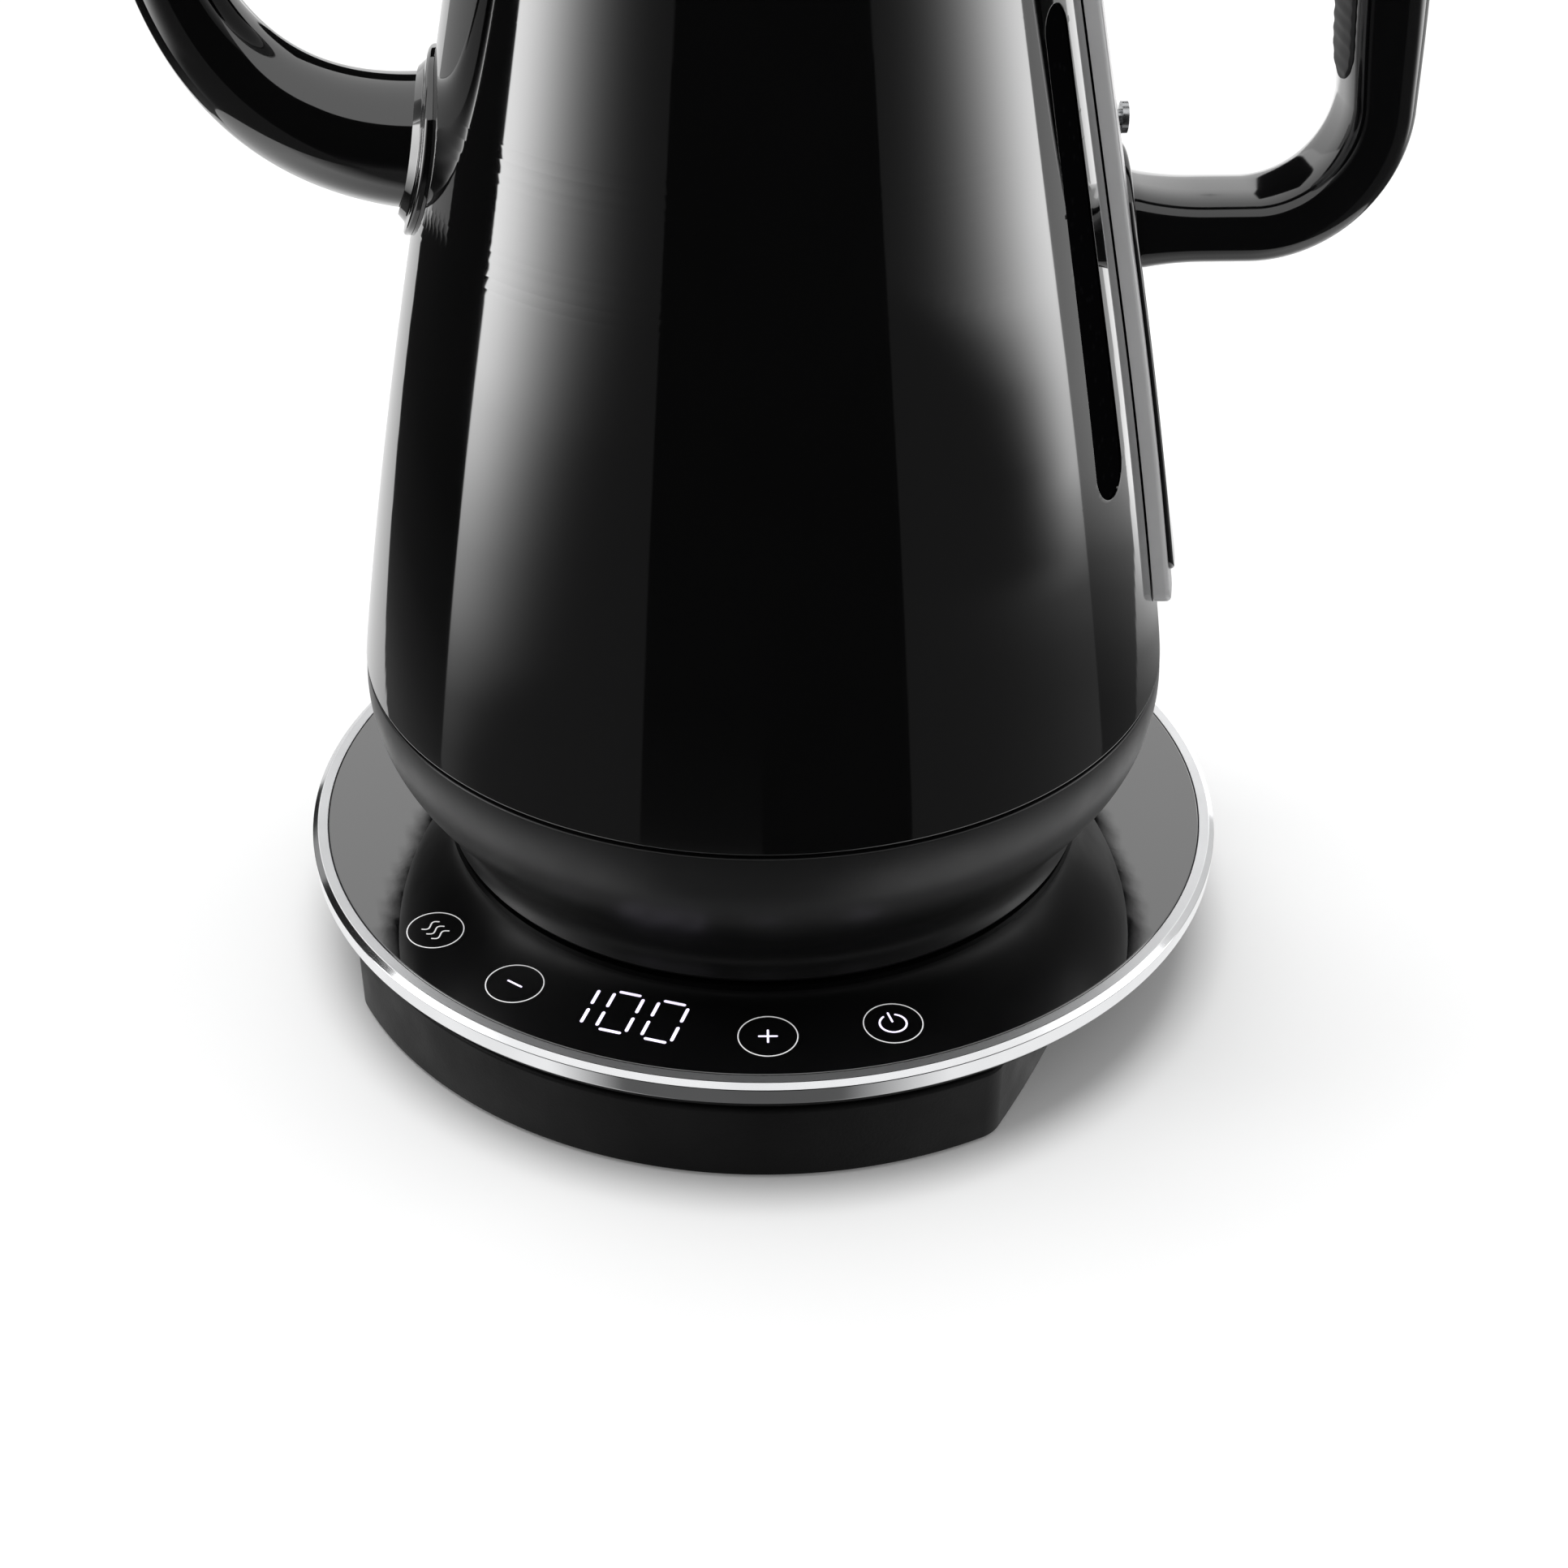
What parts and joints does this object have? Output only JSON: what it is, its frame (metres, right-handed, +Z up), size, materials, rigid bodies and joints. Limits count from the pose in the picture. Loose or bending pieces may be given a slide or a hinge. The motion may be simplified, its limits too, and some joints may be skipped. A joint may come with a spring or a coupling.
{
  "type": "gooseneck kettle",
  "caption": "Electric gooseneck kettle with a tapered black body, loop handle and lift-off lid, standing on a round glass-topped touch control base.",
  "frame": {"origin": "on the table plane under the feet, on the common axis of the base's disc and the kettle", "axes": "+Z up, +X towards the handle, -X along the spout, -Y the kettle's plain front"},
  "size_m": [0.2737, 0.1968, 0.2617],
  "materials": {
    "plinth_plastic": "fine-textured moulded black plastic",
    "rubber": "black rubber",
    "steel_screws": "zinc-plated steel",
    "board": "green circuit board",
    "board_parts": "moulded electronic parts",
    "display": "light display block",
    "copper": "bare copper",
    "black_glass": "black back-printed glass, polished",
    "polished_trim": "polished chrome",
    "contact_brass": "silver-plated brass contacts",
    "connector_plastic": "glass-filled black plastic",
    "bowl_plastic": "satin dark grey plastic",
    "ceramic_white": "heat-proof moulding",
    "plate_steel": "brushed stainless steel",
    "element_steel": "sheathed element, oxidised steel",
    "aluminium": "rolled aluminium",
    "silicone": "translucent silicone",
    "dark_silicone": "black silicone",
    "gloss_black": "deep gloss black enamel on steel",
    "window_dark": "smoked clear plastic",
    "gloss_handle": "gloss black moulding",
    "rail_plastic": "gloss black moulding",
    "soft_grip": "soft-touch grip",
    "collar_plastic": "gloss black moulding"
  },
  "bodies": {
    "base": {"base_housing": "plinth_plastic", "base_cover": "plinth_plastic", "base_feet": "rubber", "base_screws": "steel_screws", "cord_gland": "rubber", "power_board": "board", "power_parts": "board_parts", "panel_tray": "plinth_plastic", "control_board": "board", "display_module": "display", "touch_pads": "copper", "glass_panel": "black_glass", "trim_ring": "polished_trim", "base_connector": "connector_plastic", "contact_springs": "contact_brass"},
    "connector": {"kettle_connector": "connector_plastic", "kettle_contacts": "contact_brass"},
    "kettle": {"bottom_bowl": "bowl_plastic", "bowl_screws": "steel_screws", "control_block": "ceramic_white", "clamp_ring": "plate_steel", "heating_element": "element_steel", "diffuser_plate": "aluminium", "heater_plate": "plate_steel", "plate_seal": "silicone", "temperature_sensor": "plate_steel", "sensor_grommet": "silicone", "kettle_shell": "gloss_black", "window_gasket": "dark_silicone", "water_window": "window_dark", "spout_strainer": "plate_steel", "spout_collar": "gloss_black", "spout": "gloss_black", "handle_bosses": "plate_steel", "handle_rail": "rail_plastic", "handle_screws": "steel_screws", "handle_grip": "gloss_handle", "grip_pad": "soft_grip", "rim_collar": "collar_plastic"},
    "lid": {"lid_cap": "gloss_black", "lid_cup": "plate_steel", "lid_seal": "dark_silicone", "lid_screw": "steel_screws", "lid_knob": "gloss_handle"}
  },
  "joints": [
    {"name": "kettle_lift", "type": "slide", "parent": "base", "child": "connector", "axis": [0, 0, 1], "range_m": [0, 0.06]},
    {"name": "kettle_turn", "type": "hinge", "parent": "connector", "child": "kettle", "pos_m": [0, 0, 0.04], "axis": [0, 0, 1], "continuous": true},
    {"name": "lid_lift", "type": "slide", "parent": "kettle", "child": "lid", "axis": [0, 0, 1], "range_m": [0, 0.05]}
  ]
}
